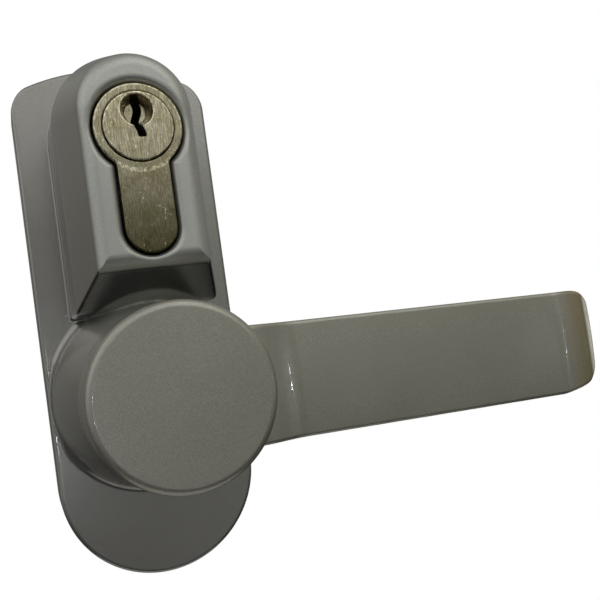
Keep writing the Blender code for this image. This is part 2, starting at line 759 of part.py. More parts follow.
def arm_section(x):
    """A rounded rectangle across the arm, drawn narrower over the rounded tip."""
    tip = max(0.0, x - ARM_END + ARM_TIP_RADIUS)
    narrow = ARM_TIP_RADIUS - math.sqrt(max(0.0, ARM_TIP_RADIUS**2 - tip**2))
    front = arm_face(x) - (1.0 if x > ARM_END - 0.3 else 0.0)
    back = ARM_BACK + narrow * 0.4
    outline = rounded_box_outline(ARM_BOTTOM + narrow, ARM_TOP - narrow, back, front, 1.6, 4)
    return [(x, y - ARM_DROOP * (x - 20.0), z) for y, z in outline]


def lever_arm():
    stations = [12.0, 14.0, 16.0, 18.0, 20.5, 23.0, 45.0, 67.0]
    stations += [85.5, 87.0, 88.0, 88.8, 89.6, 90.3, 91.1, 92.0, 92.6, ARM_END]
    return loft("lever_arm", [arm_section(x) for x in stations], HELPERS)


def build_lever(frame, paint):
    lever = lever_disc()
    lever.parent = frame
    join(lever, lever_arm())
    half = SOCKET_WIDTH / 2
    cut(lever, box("spindle_socket", (-half, half), (-half, half), (10, SPINDLE_FRONT + 0.5), HELPERS))
    height = SPINDLE_PIN_HEIGHT
    cut(lever, rod("shank_pin_hole", 1.8, (-9, 0, height), (9, 0, height), HELPERS, segments=16))
    return place(lever, frame, paint)


def build_spindle(frame, steel):
    half = SPINDLE_WIDTH / 2
    outline = rounded_box_outline(-half, half, -half, half, 0.6, 3)
    spindle = slab("spindle", outline, SPINDLE_BACK, SPINDLE_FRONT)
    spindle.parent = frame
    height = SPINDLE_PIN_HEIGHT
    cut(spindle, rod("spindle_cross_hole", 1.8, (-9, 0, height), (9, 0, height), HELPERS, segments=16))
    return place(spindle, frame, steel)


def build_spindle_pin(frame, steel):
    height = SPINDLE_PIN_HEIGHT
    pin = rod("spindle_pin", 1.5, (-6.6, 0, height), (6.6, 0, height), segments=16)
    return place(pin, frame, steel)


def build_follower(frame, steel):
    """Drive cam: two notches for the slide's tip and one long notch for the stop pin."""
    profile = [
        (0, FOLLOWER_FRONT),
        (FOLLOWER_RADIUS, FOLLOWER_FRONT),
        (FOLLOWER_RADIUS, FOLLOWER_BACK),
        (FOLLOWER_HUB_RADIUS, FOLLOWER_BACK),
        (FOLLOWER_HUB_RADIUS, FOLLOWER_HUB_BACK),
        (0, FOLLOWER_HUB_BACK),
    ]
    follower = turned("follower", profile, 48)
    follower.parent = frame
    half = SOCKET_WIDTH / 2
    cut(follower, box("follower_socket", (-half, half), (-half, half), (-3, 18), HELPERS))
    for index, turn in enumerate((0, LEVER_TRAVEL), 1):
        width = (-NOTCH_HALF_WIDTH, NOTCH_HALF_WIDTH)
        notch = box(f"slide_notch_{index}", width, (NOTCH_BOTTOM, 20), (5, 17), HELPERS)
        notch.rotation_euler = (0, 0, turn)
        notch.parent = frame
        cut(follower, notch)
    slack = math.degrees((STOP_PIN_RADIUS + GAP + 0.1) / STOP_PIN_DISTANCE)
    travel = math.degrees(LEVER_TRAVEL)
    inner = STOP_PIN_DISTANCE - STOP_PIN_RADIUS - GAP - 0.2
    outline = arc((0, 0), 19, -90 - slack, -90 + slack + travel, 13)
    outline += arc((0, 0), inner, -90 + slack + travel, -90 - slack, 13)
    cut(follower, slab("stop_notch", outline, 5, 17, HELPERS))
    leg_foot, leg_head = (-SPRING_RADIUS, 0, 5), (-SPRING_RADIUS, 0, 17)
    cut(follower, rod("spring_leg_hole", 1.2, leg_foot, leg_head, HELPERS, segments=16))
    return place(follower, frame, steel)


def build_stop_pin(frame, steel):
    low = (0, -STOP_PIN_DISTANCE, BACK_PLATE_THICKNESS + GAP)
    high = (0, -STOP_PIN_DISTANCE, FOLLOWER_FRONT + 1.0)
    return place(rod("lever_stop_pin", STOP_PIN_RADIUS, low, high), frame, steel)


def build_bush(frame, nylon):
    profile = [
        (8.7, 34.2),
        (8.7, BEARING_BACK - GAP),
        (10.6, BEARING_BACK - GAP),
        (10.6, 19.3),
        (SHANK_RADIUS + GAP, 19.3),
        (SHANK_RADIUS + GAP, 34.2),
    ]
    return place(turned("spindle_bush", profile, 24, hollow=True), frame, nylon)


def build_washer_and_circlip(frame, steel, spring_steel):
    low, high = CIRCLIP_GROOVE
    washer = ring("thrust_washer", SHANK_RADIUS + GAP, 10.4, high + 0.3, high + 1.2, 24)
    place(washer, frame, steel)
    outline = clip_outline(CIRCLIP_GROOVE_RADIUS + GAP, 9.2, 60)
    place(slab("circlip", outline, low + 0.15, high - 0.15), frame, spring_steel)


def build_return_spring(frame, spring_steel):
    """Torsion spring round the bearing tube; its lower leg drops into the follower."""
    coils = helix(SPRING_RADIUS, SPRING_BACK, SPRING_FRONT, SPRING_TURNS, 12, math.pi)
    leg = [(-SPRING_RADIUS, 0, FOLLOWER_FRONT - 3.0), (-SPRING_RADIUS, 0, SPRING_BACK - 1.0)]
    last = coils[-1]
    tail = [(last[0], last[1] + 3.0, last[2] + 0.2)]
    spring = coil("return_spring", leg + coils + tail, SPRING_WIRE, 1)
    return place(spring, frame, spring_steel)


# ---- Assembly ----------------------------------------------------------------------
def build_all():
    door = axis_frame("door_face_frame", 0)
    lever_axis = axis_frame("lever_axis", 0)
    key_axis = axis_frame("key_axis", KEY_AXIS)
    slide_frame = axis_frame("slide_frame", 0)

    silver = metal("silver_paint", (0.33, 0.33, 0.32), 0.32, 0.7)
    lever_silver = metal("lever_paint", (0.27, 0.26, 0.23), 0.38, 0.7)
    nickel = metal("satin_nickel", (0.50, 0.46, 0.36), 0.30)
    plug_nickel = metal("plug_nickel", (0.48, 0.44, 0.35), 0.28)
    brass = metal("pin_brass", (0.72, 0.56, 0.26), 0.28)
    zinc = metal("zinc_plated_steel", (0.62, 0.64, 0.66), 0.35)
    spring_steel = metal("spring_steel", (0.30, 0.30, 0.31), 0.30)
    nylon = metal("nylon", (0.80, 0.78, 0.72), 0.55, 0.0)

    build_cover(door, silver)
    build_back_plate(door, zinc)
    for index in range(1, len(SCREW_PLACES) + 1):
        build_back_plate_screw(index, door, zinc)
    for name, y in zip(("upper_fixing_post", "lower_fixing_post"), POST_HEIGHTS):
        build_fixing_post(name, y, door, zinc)
    build_cylinder_body(door, nickel)
    build_chamber_strip(door, brass)
    build_cylinder_bracket(door, zinc)
    build_cylinder_screw(door, zinc)
    build_slide_guide(door, zinc)
    build_detent(door, spring_steel)
    build_stop_pin(door, zinc)
    build_bush(door, nylon)

    build_lever(lever_axis, lever_silver)
    build_spindle(lever_axis, zinc)
    build_spindle_pin(lever_axis, spring_steel)
    build_follower(lever_axis, zinc)
    build_washer_and_circlip(lever_axis, zinc, spring_steel)
    build_return_spring(lever_axis, spring_steel)

    build_key_plug(key_axis, plug_nickel)
    build_cam(key_axis, zinc)
    build_cam_clip(key_axis, spring_steel)
    for index in range(1, PIN_COUNT + 1):
        build_key_pin(index, key_axis, brass)
        build_driver_pin(index, door, brass)
        build_pin_spring(index, door, spring_steel)

    build_locking_slide(slide_frame, zinc)


clear_scene()
PARTS = new_collection("outside_lever_trim")
HELPERS = new_collection("cutters_and_guides")
build_all()
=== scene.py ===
import math

import bmesh
import bpy
import numpy as np
from mathutils import Matrix, Vector


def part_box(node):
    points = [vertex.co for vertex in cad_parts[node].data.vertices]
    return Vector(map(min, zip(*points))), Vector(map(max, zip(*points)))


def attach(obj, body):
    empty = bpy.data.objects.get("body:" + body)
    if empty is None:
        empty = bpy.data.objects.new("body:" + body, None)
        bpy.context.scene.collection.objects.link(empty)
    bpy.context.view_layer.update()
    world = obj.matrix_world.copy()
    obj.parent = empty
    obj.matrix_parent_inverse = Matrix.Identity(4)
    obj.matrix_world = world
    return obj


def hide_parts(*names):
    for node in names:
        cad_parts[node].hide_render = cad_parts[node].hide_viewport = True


# Shapes are written in door-face millimetres, as in the CAD: x to the right, y up,
# z out of the door. World metres are (x, -z, y) / 1000.
MM = 0.001
PROBE = 0.01                 # step for the slope of a distance field, in millimetres
GRID_MARGIN = 2.5            # grid cells kept free round a shape
SLOPE_STEP = 0.05            # step for the slope of the arm's face, in millimetres

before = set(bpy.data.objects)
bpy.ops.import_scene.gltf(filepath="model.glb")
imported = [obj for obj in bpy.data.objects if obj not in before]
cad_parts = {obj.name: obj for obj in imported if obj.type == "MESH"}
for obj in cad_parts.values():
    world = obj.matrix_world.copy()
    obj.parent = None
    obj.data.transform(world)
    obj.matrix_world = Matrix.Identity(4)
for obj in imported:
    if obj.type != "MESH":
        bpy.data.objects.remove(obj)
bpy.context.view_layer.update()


def door_box(node):
    """Lowest and highest corner of a CAD node in door-face millimetres."""
    low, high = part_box(node)
    return Vector((low.x, low.z, -high.y)) / MM, Vector((high.x, high.z, -low.y)) / MM


# ---- Driving dimensions --------------------------------------------------------
COVER_LOW, COVER_HIGH = door_box("cover")
PLATE_HALF = COVER_HIGH.x
PLATE_THICKNESS = 8.5
BOTTOM_CENTRE = COVER_LOW.y + PLATE_HALF
TOP_RADIUS = 47.0
TOP_CENTRE = COVER_HIGH.y - TOP_RADIUS
PLATE_CORNER = 4.0
PLATE_EDGE = 0.8
WALL = 2.5

HOUSING_FRONT = COVER_HIGH.z
HOUSING_SHOULDER = 24.9
HOUSING_HALF_FRONT, HOUSING_HALF_BASE = 10.5, 14.8
HOUSING_BOTTOM_FRONT, HOUSING_BOTTOM_BASE = 25.3, 18.0
HOUSING_ARC_FRONT, HOUSING_ARC_BASE = 55.6, 56.6
HOUSING_EDGE = 2.2
HOUSING_CORNER = 0.6
HOUSING_BEND = 0.10          # softness of the bend at the shoulder, as a share of the taper's run
CAVITY_HALF_FRONT, CAVITY_HALF_BASE = 8.4, 12.5
CAVITY_BOTTOM_FRONT, CAVITY_BOTTOM_BASE = 27.0, 20.3

COLLAR_BASE_RADIUS, COLLAR_RIM_RADIUS, COLLAR_TOP_RADIUS = 21.0, 20.5, 17.2
COLLAR_RIM, COLLAR_TOP = 24.5, 34.5
COLLAR_BEND, COLLAR_EDGE = 4.0, 0.6
COLLAR_NARROWING = 0.44      # how fast the hollow under the collar narrows towards its top
COLLAR_FILLET = (0.05, 1.6)  # narrow where the collar meets the plate's side, wide elsewhere
FILLET_SHARE = 0.7           # of the distance to the plate's side
BEARING_BORE, BEARING_RADIUS, BEARING_BACK = 9.0, 11.0, 20.5
BEARING_CUT = (15.0, 40.0)
MOUTH_GAP, MOUTH_BACK, MOUTH_LIP = 0.35, 30.0, 1.5

PLUG_LOW, PLUG_HIGH = door_box("key_plug")
KEY_AXIS = (PLUG_LOW.y + PLUG_HIGH.y) / 2
PLUG_RADIUS = PLUG_HIGH.x
PLUG_BORE = 6.86
BODY_LOW, BODY_HIGH = door_box("cylinder_body")
HEAD_RADIUS = BODY_HIGH.x
LEG_HALF = 5.0
LEG_CENTRE = BODY_LOW.y + LEG_HALF
PLUG_BACK, TAIL_RADIUS = 15.5, 3.9
CAM_SLOT = (5.2, 15.2)
CAM_SLOT_RADIUS = 12.1
PIN_HOLE = 1.55
PIN_HEIGHTS = [36.0 - 4.0 * i for i in range(5)]
PIN_CHAMBER = (29.6, 46.0)
PLUG_PIN_HOLE = (KEY_AXIS - 9.0, KEY_AXIS - 1.0)
PIN_STRIP_SLOT = ((-2.1, 25.0, 16.8), (2.1, 30.2, 39.0))
BODY_BORE = (-2.0, 44.0)
FIXING_PLACE, FIXING_RADIUS, FIXING_REACH = (32.0, 10.2), 2.6, 8.0
KEYWAY_TOP, KEYWAY_BOTTOM, KEYWAY_BACK = 6.1, -2.2, 18.0
KEYWAY_HALF, KEYWAY_SWING, KEYWAY_SHIFT = 0.78, 0.38, 0.1
KEYWAY_TURNS, KEYWAY_PHASE = 1.43, 0.28
ENTRY_RISE, ENTRY_BACK, ENTRY_RADIUS = 3.1, 38.0, 2.1
ENTRY_SPREAD, ENTRY_SLANT = 1.2 / 3.2, 1.09
TAIL_FLAT = 3.0
CLIP_GROOVE, CLIP_GROOVE_DEPTH = (3.2, 4.8), 0.8

LEVER_LOW, LEVER_HIGH = door_box("lever")
DISC_FRONT = LEVER_HIGH.z
HUB_RADIUS = -LEVER_LOW.x
HUB_BACK = 34.8
DISC_EDGE, DISC_BACK_EDGE = 1.5, 0.8
DISC_GROOVE, DISC_GROOVE_RADIUS = 41.5, 0.45
ARM_END = LEVER_HIGH.x
ARM_TOP, ARM_BOTTOM, ARM_DROOP = 10.95, -11.95, 0.026
ARM_BACK, ARM_TRAY, ARM_LIP = 36.0, 43.3, 46.5
ARM_START, ARM_PIVOT = 6.0, 20.0
ARM_ROOT_END, ARM_ROOT_RUN, ARM_ROOT_RISE = 25.0, 12.0, 3.2
ARM_LIP_START, ARM_LIP_RUN, ARM_LIP_POWER = 85.5, 5.6, 1.6
ARM_CORNERS = (3.5, 6.5)     # upper and lower corner of the arm's end
ARM_END_BOW, ARM_END_BOW_CENTRE = 0.003, 4.0
ARM_CROWN, ARM_FACE_EDGE, ARM_BACK_EDGE = 0.3, 0.7, 1.5
SHANK_RADIUS, SHANK_BACK = 7.0, 15.5
CIRCLIP_GROOVE = (16.6, 17.8)
CIRCLIP_GROOVE_RADIUS = 6.2
SOCKET_HALF = 4.3            # square socket for the spindle
SOCKET = (10.0, 32.8)
CROSS_HOLE_HEIGHT, CROSS_HOLE_RADIUS, CROSS_HOLE_REACH = 26.0, 1.8, 9.0
SPINDLE_EDGE, SPINDLE_BEVEL = 0.6, 0.9

SCREW_PLACES = ((15.2, 61.0), (-15.2, 61.0), (13.6, -24.5), (-13.6, -24.5))
SCREW_BOSS_RADIUS, SCREW_BOSS = 3.0, (1.9, 7.0)
SCREW_HOLE_RADIUS, SCREW_HOLE = 1.5, (-1.0, 5.9)
DETENT_PLACE = (8.5, 25.0)
DETENT_BOSS_RADIUS, DETENT_BOSS = 2.9, (14.6, 32.0)
DETENT_HOLE_RADIUS, DETENT_HOLE = 1.8, (10.0, 22.6)
SLIDE_PASSAGE = ((-3.4, 13.0, -4.0), (11.8, 24.0, 14.2))

POST_RADIUS, POST_FLANGE, POST_BORE_END = 4.0, (1.8, 3.2), 3.0
THREAD_RADIUS, THREAD_DEPTH, THREAD_PITCH = 2.1, 0.3, 0.8
THREAD_MOUTH, THREAD_MOUTH_DEPTH, THREAD_MOUTH_SPREAD = 0.6, 0.7, 0.8

# ---- Distance fields -------------------------------------------------------------
# A field is negative inside its shape and grows by about one per millimetre.


def round_max(a, b, radius):
    """What lies in both shapes, with its edge rounded."""
    corner = np.hypot(np.maximum(radius + a, 0), np.maximum(radius + b, 0))
    return np.minimum(-radius, np.maximum(a, b)) + corner


def round_min(a, b, radius):
    """Both shapes together, with a fillet where they meet."""
    corner = np.hypot(np.maximum(radius - a, 0), np.maximum(radius - b, 0))
    return np.maximum(radius, np.minimum(a, b)) - corner


def without(a, b, radius=0.3):
    """Shape a with shape b cut out of it."""
    return round_max(a, -b, radius)


def block(x, y, z, low, high):
    middle = [(a + b) / 2 for a, b in zip(low, high)]
    half = [(b - a) / 2 for a, b in zip(low, high)]
    across = np.maximum(np.abs(x - middle[0]) - half[0], np.abs(y - middle[1]) - half[1])
    return np.maximum(across, np.abs(z - middle[2]) - half[2])


def disc(x, y, z, centre, radius, low, high, edge=0.3):
    """A round rod along z between two heights."""
    side = np.hypot(x - centre[0], y - centre[1]) - radius
    return round_max(side, np.maximum(low - z, z - high), edge)


def euro(x, y, margin=0.0):
    """Euro profile: round head over a narrow leg with a round end."""
    head = np.hypot(x, y - KEY_AXIS) - HEAD_RADIUS - margin
    leg = np.hypot(x, y - np.clip(y, LEG_CENTRE, KEY_AXIS)) - LEG_HALF - margin
    return round_min(head, leg, 0.4)


# ---- Meshes from distance fields --------------------------------------------------
def surface_net(field, low, high, step):
    """One point in each grid cell that the surface crosses, and a quad round each crossed grid edge."""
    low = np.array(low, float)
    axes = [np.arange(a, b + step, step) for a, b in zip(low, high)]
    values = field(*np.meshgrid(*axes, indexing="ij", sparse=True))
    inside = values < 0
    held = np.zeros([n - 1 for n in inside.shape], np.int8)
    for i in (0, 1):
        for j in (0, 1):
            for k in (0, 1):
                held += inside[i:, j:, k:][: held.shape[0], : held.shape[1], : held.shape[2]]
    crossed = (held > 0) & (held < 8)
    index = np.full(crossed.shape, -1, np.int64)
    index[crossed] = np.arange(crossed.sum())
    cells = np.argwhere(crossed)
    total = np.zeros(cells.shape)
    hits = np.zeros(len(cells))
    quads = []
    for axis in range(3):
        along = np.eye(3, dtype=int)[axis]
        u, v = np.eye(3, dtype=int)[(axis + 1) % 3], np.eye(3, dtype=int)[(axis + 2) % 3]
        for offset in (0 * u, u, v, u + v):
            start = cells + offset
            a, b = values[tuple(start.T)], values[tuple((start + along).T)]
            mixed = (a < 0) != (b < 0)
            share = a[mixed] / (a[mixed] - b[mixed])
            total[mixed] += start[mixed] + share[:, None] * along
            hits[mixed] += 1
        near = inside[tuple(slice(0, -1) if i == axis else slice(1, -1) for i in range(3))]
        far = inside[tuple(slice(1, None) if i == axis else slice(1, -1) for i in range(3))]
        edges = np.argwhere(near != far) + u + v
        ring = [index[tuple((edges - offset).T)] for offset in (u + v, v, 0 * u, u)]
        outward = near[near != far]
        ring = np.stack(ring, 1)
        quads.append(np.where(outward[:, None], ring, ring[:, ::-1]))
    return low + total / hits[:, None] * step, np.concatenate(quads)


def slope_of(field, points):
    out = np.empty_like(points)
    for axis in range(3):
        probe = np.eye(3)[axis] * PROBE
        out[:, axis] = (field(*(points + probe).T) - field(*(points - probe).T)) / (2 * PROBE)
    return out


def settle(field, points, reach, rounds=3):
    """Moves points along the slope until they lie on the surface."""
    for _ in range(rounds):
        slope = slope_of(field, points)
        steep = np.maximum((slope**2).sum(1), 0.2)
        move = np.clip(field(*points.T) / steep, -reach, reach)
        points = points - move[:, None] * slope
    return points


def field_piece(name, field, low, high, step, faces):
    """A closed mesh of a distance field, thinned on its flats, with the field's own normals."""
    low, high = [a - GRID_MARGIN * step for a in low], [b + GRID_MARGIN * step for b in high]
    points, quads = surface_net(field, low, high, step)
    points = settle(field, points, step)
    mesh = bpy.data.meshes.new(name)
    mesh.from_pydata(points.tolist(), [], quads.tolist())
    obj = bpy.data.objects.new(name, mesh)
    bpy.context.scene.collection.objects.link(obj)
    thin = obj.modifiers.new("thin", "DECIMATE")
    thin.ratio = min(1.0, faces / (2 * len(quads)))
    graph = bpy.context.evaluated_depsgraph_get()
    thinned = bpy.data.meshes.new_from_object(obj.evaluated_get(graph))
    obj.modifiers.clear()
    obj.data = thinned
    bpy.data.meshes.remove(mesh)
    points = np.empty(len(thinned.vertices) * 3)
    thinned.vertices.foreach_get("co", points)
    points = settle(field, points.reshape(-1, 3), step / 2, 2)
    normals = slope_of(field, points)
    normals /= np.maximum(np.linalg.norm(normals, axis=1), 1e-6)[:, None]
    thinned.vertices.foreach_set("co", to_world(points).ravel())
    thinned.shade_smooth()
    thinned.normals_split_custom_set_from_vertices(to_world(normals, 1).tolist())
    thinned.update()
    return obj


def to_world(points, scale=MM):
    return np.stack((points[:, 0], -points[:, 2], points[:, 1]), 1) * scale


# ---- Cover -------------------------------------------------------------------------
def plate_outline(x, y):
    """Half-round bottom, straight sides, shallow arc on top."""
    sides = np.hypot(x, np.minimum(y - BOTTOM_CENTRE, 0)) - PLATE_HALF
    top = np.where(y > TOP_CENTRE, np.hypot(x, y - TOP_CENTRE), np.abs(x)) - TOP_RADIUS
    return round_max(sides, top, PLATE_CORNER)


def tapered_housing(x, y, z, half, bottom, bend):
    """Walls that lean inwards in front of the shoulder: half and bottom are (base, front) pairs."""
    run = HOUSING_FRONT - HOUSING_SHOULDER
    lean = (z - HOUSING_SHOULDER) / run
    lean = (lean + np.sqrt(lean**2 + bend**2)) / 2
    side_lean, floor_lean = (half[1] - half[0]) / run, (bottom[1] - bottom[0]) / run
    arc_centre = HOUSING_ARC_BASE + (HOUSING_ARC_FRONT - HOUSING_ARC_BASE) * lean
    side = np.hypot(x, np.maximum(y - arc_centre, 0)) - half[0] - side_lean * run * lean
    floor = bottom[0] + floor_lean * run * lean - y
    return side / math.hypot(1, side_lean), floor / math.hypot(1, floor_lean)


def housing(x, y, z):
    half = (HOUSING_HALF_BASE, HOUSING_HALF_FRONT)
    bottom = (HOUSING_BOTTOM_BASE, HOUSING_BOTTOM_FRONT)
    walls = round_max(*tapered_housing(x, y, z, half, bottom, HOUSING_BEND), HOUSING_CORNER)
    return round_max(walls, z - HOUSING_FRONT, HOUSING_EDGE)


def collar(r, z):
    drop = (COLLAR_BASE_RADIUS - COLLAR_RIM_RADIUS) / (COLLAR_RIM - PLATE_THICKNESS)
    wall = r - COLLAR_BASE_RADIUS + drop * (z - PLATE_THICKNESS)
    run, rise = COLLAR_RIM_RADIUS - COLLAR_TOP_RADIUS, COLLAR_TOP - COLLAR_RIM
    taper = ((r - COLLAR_RIM_RADIUS) * rise + (z - COLLAR_RIM) * run) / math.hypot(run, rise)
    body = round_max(wall, taper, COLLAR_BEND)
    return round_max(body, z - COLLAR_TOP, COLLAR_EDGE)


def cover_hollow(x, y, z):
    """Everything hollow behind the cover's walls."""
    r = np.hypot(x, y)
    plate = np.maximum(plate_outline(x, y) + WALL, z - PLATE_THICKNESS + WALL)
    half = (CAVITY_HALF_BASE, CAVITY_HALF_FRONT)
    bottom = (CAVITY_BOTTOM_BASE, CAVITY_BOTTOM_FRONT)
    side, floor = tapered_housing(x, y, z, half, bottom, 0.0)
    room = np.maximum(np.maximum(side, floor), z - HOUSING_FRONT + WALL)
    narrowing = np.maximum(z - COLLAR_RIM, 0) * COLLAR_NARROWING
    tube = np.maximum(r - BEARING_RADIUS, BEARING_BACK - z)
    ring = np.maximum(r - COLLAR_RIM_RADIUS + WALL + narrowing, z - COLLAR_TOP + WALL)
    ring = np.maximum(ring, -tube)
    passage = block(x, y, z, *SLIDE_PASSAGE)
    return np.minimum(np.minimum(plate, room), np.minimum(ring, passage))


def cover_field(x, y, z):
    r = np.hypot(x, y)
    outline = plate_outline(x, y)
    plate = round_max(outline, z - PLATE_THICKNESS, PLATE_EDGE)
    fillet = np.clip(-FILLET_SHARE * outline, *COLLAR_FILLET)
    body = round_min(plate, collar(r, z), fillet)
    body = round_min(body, housing(x, y, z), 0.4)
    body = round_max(body, -z, 0.4)
    body = without(body, cover_hollow(x, y, z), 0.4)
    for place in SCREW_PLACES:
        body = np.minimum(body, disc(x, y, z, place, SCREW_BOSS_RADIUS, *SCREW_BOSS))
        body = without(body, disc(x, y, z, place, SCREW_HOLE_RADIUS, *SCREW_HOLE, 0.1), 0.2)
    body = np.minimum(body, disc(x, y, z, DETENT_PLACE, DETENT_BOSS_RADIUS, *DETENT_BOSS))
    body = without(body, disc(x, y, z, DETENT_PLACE, DETENT_HOLE_RADIUS, *DETENT_HOLE, 0.1), 0.2)
    body = without(body, disc(x, y, z, (0, 0), BEARING_BORE, *BEARING_CUT, 0.1), 0.4)
    mouth = np.maximum(euro(x, y, MOUTH_GAP), MOUTH_BACK - z)
    return without(body, mouth, MOUTH_LIP)


def build_cover():
    cover = field_piece("cover_casting", cover_field, COVER_LOW, COVER_HIGH, 0.36, 110000)
    finish_piece(cover, "housing", "cover_paint", "cover")


# ---- Lever -------------------------------------------------------------------------
def smooth(t):
    t = np.clip(t, 0, 1)
    return t * t * (3 - 2 * t)


def arm_face(x):
    """Height of the arm's face along its length: root ramp, tray, raised end lip."""
    root = smooth((ARM_ROOT_END - x) / ARM_ROOT_RUN)
    lip = smooth(np.clip((x - ARM_LIP_START) / ARM_LIP_RUN, 0, 1) ** ARM_LIP_POWER)
    return ARM_TRAY + ARM_ROOT_RISE * root + (ARM_LIP - ARM_TRAY) * lip


def lever_arm(x, y, z):
    middle, half = (ARM_TOP + ARM_BOTTOM) / 2, (ARM_TOP - ARM_BOTTOM) / 2
    sideways = y - middle + ARM_DROOP * (x - ARM_PIVOT)
    across = sideways / half
    corner = np.where(sideways > 0, *ARM_CORNERS)
    bow = ARM_END_BOW * (sideways - ARM_END_BOW_CENTRE) ** 2
    plan = round_max(np.abs(sideways) - half, x - ARM_END + bow, corner)
    rise = (arm_face(x + SLOPE_STEP) - arm_face(x - SLOPE_STEP)) / (2 * SLOPE_STEP)
    face = (z - arm_face(x) + ARM_CROWN * across**2) / np.sqrt(1 + rise**2)
    arm = round_max(round_max(plan, face, ARM_FACE_EDGE), ARM_BACK - z, ARM_BACK_EDGE)
    return np.maximum(arm, ARM_START - x)


def cross_hole(x, y, z):
    """Hole for the pin across the spindle and the lever's shank."""
    side = np.hypot(y + 0 * x, z - CROSS_HOLE_HEIGHT) - CROSS_HOLE_RADIUS
    return np.maximum(side, np.abs(x) - CROSS_HOLE_REACH)


def lever_field(x, y, z):
    r = np.hypot(x, y)
    hub = round_max(r - HUB_RADIUS, z - DISC_FRONT, DISC_EDGE)
    hub = round_max(hub, HUB_BACK - z, DISC_BACK_EDGE)
    groove = np.hypot(r - HUB_RADIUS - 0.1, z - DISC_GROOVE) - DISC_GROOVE_RADIUS
    hub = without(hub, groove, 0.12)
    body = round_min(hub, lever_arm(x, y, z), 0.7)
    shank = round_max(r - SHANK_RADIUS, SHANK_BACK - z, 0.5)
    shank = np.maximum(shank, z - HUB_BACK - 2)
    body = round_min(body, shank, 0.4)
    sides = np.maximum(CIRCLIP_GROOVE[0] - z, z - CIRCLIP_GROOVE[1])
    body = without(body, np.maximum(CIRCLIP_GROOVE_RADIUS - r, sides), 0.1)
    low = (-SOCKET_HALF, -SOCKET_HALF, SOCKET[0])
    body = without(body, block(x, y, z, low, (SOCKET_HALF, SOCKET_HALF, SOCKET[1])), 0.3)
    return without(body, cross_hole(x, y, z), 0.3)


def build_lever():
    lever = field_piece("lever_handle", lever_field, LEVER_LOW, LEVER_HIGH, 0.3, 80000)
    finish_piece(lever, "lever_assembly", "lever_paint", "lever")


# ---- Cylinder ----------------------------------------------------------------------
def cylinder_field(x, y, z):
    body = round_max(euro(x, y), np.maximum(BODY_LOW.z - z, z - BODY_HIGH.z), 0.35)
    centre = (0, KEY_AXIS)
    body = without(body, disc(x, y, z, centre, PLUG_BORE, *BODY_BORE, 0.1), 0.25)
    body = without(body, disc(x, y, z, centre, CAM_SLOT_RADIUS, *CAM_SLOT, 0.1), 0.3)
    up, out = FIXING_PLACE
    fixing = np.hypot(y - up + 0 * x, z - out) - FIXING_RADIUS
    body = without(body, np.maximum(fixing, np.abs(x) - FIXING_REACH), 0.3)
    for height in PIN_HEIGHTS:
        chamber = np.hypot(x + 0 * y, z - height) - PIN_HOLE
        chamber = np.maximum(chamber, np.maximum(PIN_CHAMBER[0] - y, y - PIN_CHAMBER[1]))
        body = without(body, chamber, 0.1)
    return without(body, block(x, y, z, *PIN_STRIP_SLOT), 0.1)


def keyway(x, y):
    """A winding slot: its middle line swings left and right as it runs down."""
    top, bottom = KEY_AXIS + KEYWAY_TOP, KEY_AXIS + KEYWAY_BOTTOM
    share = (top - y) / (top - bottom) - KEYWAY_PHASE
    turn = 2 * math.pi * KEYWAY_TURNS
    sway = KEYWAY_SWING * np.cos(turn * share) + KEYWAY_SHIFT
    lean = KEYWAY_SWING * turn * np.sin(turn * share) / (top - bottom)
    across = (np.abs(x - sway) - KEYWAY_HALF) / np.sqrt(1 + lean**2)
    return round_max(across, np.maximum(y - top, bottom - y), 0.3)


def plug_field(x, y, z):
    r = np.hypot(x, y - KEY_AXIS)
    barrel = round_max(r - PLUG_RADIUS, np.maximum(PLUG_BACK - z, z - PLUG_HIGH.z), 0.3)
    tail = round_max(r - TAIL_RADIUS, np.maximum(PLUG_LOW.z - z, z - PLUG_BACK - 2), 0.2)
    body = round_min(barrel, tail, 0.2)
    sides = np.maximum(CLIP_GROOVE[0] - z, z - CLIP_GROOVE[1])
    body = without(body, np.maximum(TAIL_RADIUS - CLIP_GROOVE_DEPTH - r, sides), 0.1)
    body = without(body, np.maximum(keyway(x, y), KEYWAY_BACK - z), 0.12)
    entry = np.hypot(x, y - KEY_AXIS - ENTRY_RISE) - ENTRY_RADIUS
    entry = (entry - (z - ENTRY_BACK) * ENTRY_SPREAD) / ENTRY_SLANT
    body = without(body, np.maximum(entry, ENTRY_BACK - z), 0.12)
    for height in PIN_HEIGHTS:
        hole = np.hypot(x + 0 * y, z - height) - PIN_HOLE
        hole = np.maximum(hole, np.maximum(PLUG_PIN_HOLE[0] - y, y - PLUG_PIN_HOLE[1]))
        body = without(body, hole, 0.1)
    along = np.maximum(CLIP_GROOVE[1] - z, z - PLUG_BACK)
    return without(body, np.maximum(KEY_AXIS + TAIL_FLAT - y, along), 0.1)


def build_cylinder():
    body = field_piece("half_cylinder_body", cylinder_field, BODY_LOW, BODY_HIGH, 0.24, 60000)
    finish_piece(body, "housing", "cylinder_nickel", "cylinder_body")
    plug = field_piece("turning_plug", plug_field, PLUG_LOW, PLUG_HIGH, 0.17, 60000)
    finish_piece(plug, "plug_assembly", "plug_nickel", "key_plug")


# ---- Fixings ------------------------------------------------------------------------
def build_spindle():
    low, high = door_box("spindle")

    def bar(x, y, z):
        sides = round_max(np.abs(x) - high.x, np.abs(y) - high.y, SPINDLE_EDGE)
        bar_end = np.maximum(low.z - z, z - high.z)
        return without(round_max(sides, bar_end, SPINDLE_BEVEL), cross_hole(x, y, z), 0.2)

    spindle = field_piece("square_spindle", bar, low, high, 0.3, 9000)
    finish_piece(spindle, "lever_assembly", "zinc_steel", "spindle")


